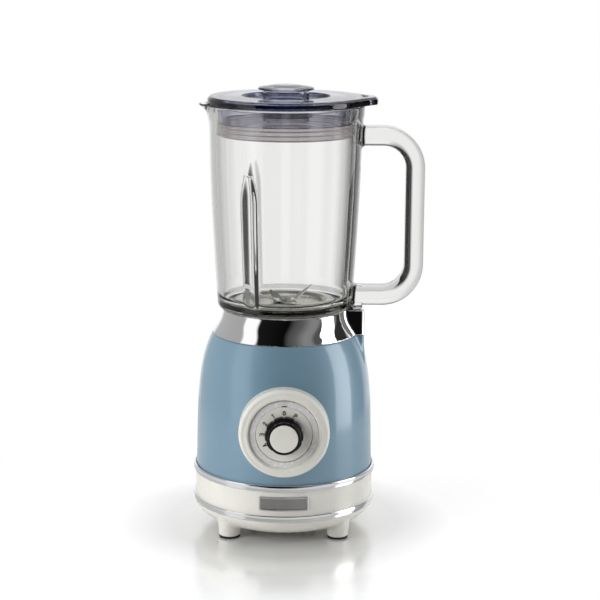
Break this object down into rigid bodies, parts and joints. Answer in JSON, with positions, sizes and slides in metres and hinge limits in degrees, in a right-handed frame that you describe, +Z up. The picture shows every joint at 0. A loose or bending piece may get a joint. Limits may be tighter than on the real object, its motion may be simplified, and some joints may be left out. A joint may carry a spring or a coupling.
{
  "type": "countertop blender",
  "caption": "Countertop blender: domed motor base with a rotary dial, bright collar, clear glass jug with handle, blade unit, smoky lid and measuring cap.",
  "frame": {"origin": "on the drive axis, at the surface that the feet stand on", "axes": "+Z up along the drive axis, -Y the front with the dial, +X the handle side, -X the spout side"},
  "size_m": [0.2061, 0.1913, 0.4007],
  "materials": {
    "cream_plastic": "smooth moulded plastic",
    "blue_paint": "satin paint",
    "chrome": "polished",
    "clear_glass": "pressed clear glass",
    "smoke_plastic": "smoky transparent plastic",
    "soft_seal": "translucent silicone",
    "black_plastic": "black moulded plastic",
    "rubber": "soft rubber",
    "steel": "plain steel",
    "blade_steel": "ground steel",
    "badge_metal": "satin plate with a bright rim",
    "grey_ring": "pearl grey",
    "lens": "clear lens",
    "cast_metal": "die-cast",
    "iron": "laminated core",
    "copper": "wound or turned copper",
    "bronze": "sintered bronze",
    "board": "printed board with parts",
    "fan_plastic": "moulded"
  },
  "bodies": {
    "base": {"foot_pads": "rubber", "bottom_cover": "cream_plastic", "foot_screws": "steel", "base_band": "cream_plastic", "lower_trim_ring": "chrome", "upper_trim_ring": "chrome", "badge_plate": "badge_metal", "cord_gland": "black_plastic", "control_board": "board", "board_screws": "steel", "motor_housing": "blue_paint", "housing_screws": "steel", "collar": "chrome", "collar_screws": "steel", "seat_ring": "rubber", "dial_bezel": "cream_plastic", "window_ring": "grey_ring", "index_lens": "lens", "rotary_switch": "black_plastic", "switch_screws": "steel", "upper_bracket": "cast_metal", "lower_bracket": "cast_metal", "stator_core": "iron", "field_coils": "copper", "through_bolts": "steel", "upper_bearing": "steel", "lower_bearing": "steel", "brush_holders": "bronze", "carbon_brushes": "black_plastic", "motor_mounts": "rubber", "mount_screws": "steel", "deck_seal": "rubber"},
    "motor_rotor": {"motor_shaft": "steel", "rotor_core": "iron", "rotor_windings": "copper", "commutator": "copper", "cooling_fan": "fan_plastic", "drive_coupling": "black_plastic"},
    "control_knob": {"knob": "black_plastic", "knob_cap": "cream_plastic", "switch_shaft": "steel", "dial_disc": "cream_plastic", "dial_marks": "black_plastic"},
    "jug": {"glass_jug": "clear_glass", "blade_plate": "blade_steel", "plate_gasket": "soft_seal", "bearing_housing": "black_plastic", "lock_ring": "black_plastic", "upper_bush": "bronze", "lower_bush": "bronze", "shaft_seal": "rubber"},
    "blades": {"blade_shaft": "steel", "lower_blade": "blade_steel", "upper_blade": "blade_steel", "blade_nut": "steel", "driven_coupling": "black_plastic"},
    "lid": {"lid": "smoke_plastic", "lid_seal": "soft_seal"},
    "cap": {"measuring_cap": "smoke_plastic"}
  },
  "joints": [
    {"name": "motor_spin", "type": "hinge", "parent": "base", "child": "motor_rotor", "pos_m": [0, 0, 0.1], "axis": [0, 0, 1], "continuous": true},
    {"name": "knob_turn", "type": "hinge", "parent": "base", "child": "control_knob", "pos_m": [0, -0.087, 0.1055], "axis": [0, -1, 0], "range_deg": [-120, 30]},
    {"name": "jug_lift", "type": "slide", "parent": "base", "child": "jug", "axis": [0, 0, 1], "range_m": [0, 0.08]},
    {"name": "blade_spin", "type": "hinge", "parent": "jug", "child": "blades", "pos_m": [0, 0, 0.2], "axis": [0, 0, 1], "continuous": true},
    {"name": "lid_lift", "type": "slide", "parent": "jug", "child": "lid", "axis": [0, 0, 1], "range_m": [0, 0.05]},
    {"name": "cap_lift", "type": "slide", "parent": "lid", "child": "cap", "axis": [0, 0, 1], "range_m": [0, 0.04]}
  ],
  "couplings": [
    {"joint": "blade_spin", "follows": "motor_spin", "ratio": 1}
  ]
}
